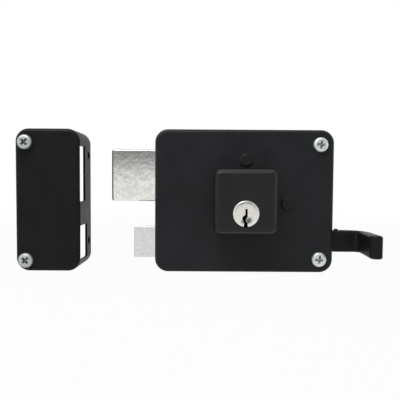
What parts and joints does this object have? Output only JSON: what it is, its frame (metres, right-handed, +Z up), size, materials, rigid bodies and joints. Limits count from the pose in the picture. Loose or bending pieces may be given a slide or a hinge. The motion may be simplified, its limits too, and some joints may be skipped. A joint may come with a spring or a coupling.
{
  "type": "rim box lock",
  "caption": "Black rim box lock with a square key cylinder block, a deadbolt, a bevelled latch bolt with a hooked pull handle, and its separate strike box.",
  "frame": {"origin": "on the key plug's axis, in the plane of the door face, at the centre of the back plate's cylinder hole", "axes": "+Y runs into the door along the plug axis, +X from the strike box towards the pull handle, +Z up"},
  "size_m": [0.1882, 0.0483, 0.076],
  "materials": {
    "case_enamel": "satin black stoved enamel on pressed steel, and on the stud heads",
    "strike_enamel": "satin black stoved enamel on pressed steel",
    "block_enamel": "satin black enamel on cast zinc",
    "handle_enamel": "satin black enamel on a cast handle and its pin",
    "bolt_zinc": "mottled zinc plate on the steel bolts",
    "plug_nickel": "satin nickel plate on the brass key plug",
    "screw_zinc": "pale zinc plate on the pan head screws",
    "plate_zinc": "zinc-plated steel sheet, posts and rivets",
    "pin_brass": "turned brass pins, pin cylinder, cover strip and bush",
    "hub_steel": "bare sintered steel hub and flat steel tailpiece",
    "spring_steel": "bright spring steel"
  },
  "bodies": {
    "lock_case": {"case_shell": "case_enamel", "back_plate": "plate_zinc", "case_screw_posts": "plate_zinc", "case_screws": "screw_zinc", "cylinder_housing": "block_enamel", "housing_screws": "screw_zinc", "cylinder_body": "pin_brass", "pin_chamber_cover": "pin_brass", "driver_pins": "pin_brass", "pin_springs": "spring_steel", "bolt_guide_stud": "case_enamel", "latch_guide_stud": "case_enamel", "bridge_post": "plate_zinc", "hub_bridge": "plate_zinc", "hub_bush": "pin_brass", "spring_bracket": "plate_zinc", "spring_guide_pin": "plate_zinc"},
    "key_train": {"plug": "plug_nickel", "key_pins": "pin_brass", "plug_clip": "spring_steel", "tailpiece": "hub_steel", "hub_pinion": "hub_steel"},
    "deadbolt_unit": {"deadbolt": "bolt_zinc", "deadbolt_rack_plate": "plate_zinc", "deadbolt_rivets": "plate_zinc"},
    "latch_unit": {"latch_bolt": "bolt_zinc", "latch_slide_plate": "plate_zinc", "latch_rivets": "plate_zinc", "pull_handle": "handle_enamel", "handle_pin": "handle_enamel", "latch_spring": "spring_steel"},
    "strike_unit": {"strike_box": "strike_enamel", "strike_base_plate": "plate_zinc", "strike_posts": "plate_zinc", "strike_screws": "screw_zinc"}
  },
  "joints": [
    {"name": "key_turn", "type": "hinge", "parent": "lock_case", "child": "key_train", "pos_m": [0, 0, 0], "axis": [0, 1, 0], "range_deg": [-2, 362]},
    {"name": "deadbolt_slide", "type": "slide", "parent": "lock_case", "child": "deadbolt_unit", "axis": [1, 0, 0], "range_m": [0, 0.0234]},
    {"name": "latch_pull", "type": "slide", "parent": "lock_case", "child": "latch_unit", "axis": [1, 0, 0], "range_m": [0, 0.0114], "stiffness_N_per_m": 400, "springref_m": -0.006, "deforming": ["latch_spring"]},
    {"name": "strike_closing", "type": "slide", "parent": "lock_case", "child": "strike_unit", "axis": [1, 0, 0], "range_m": [0, 0.036]}
  ],
  "couplings": [
    {"joint": "key_turn", "follows": "deadbolt_slide", "rad_per_m": 268.51}
  ]
}
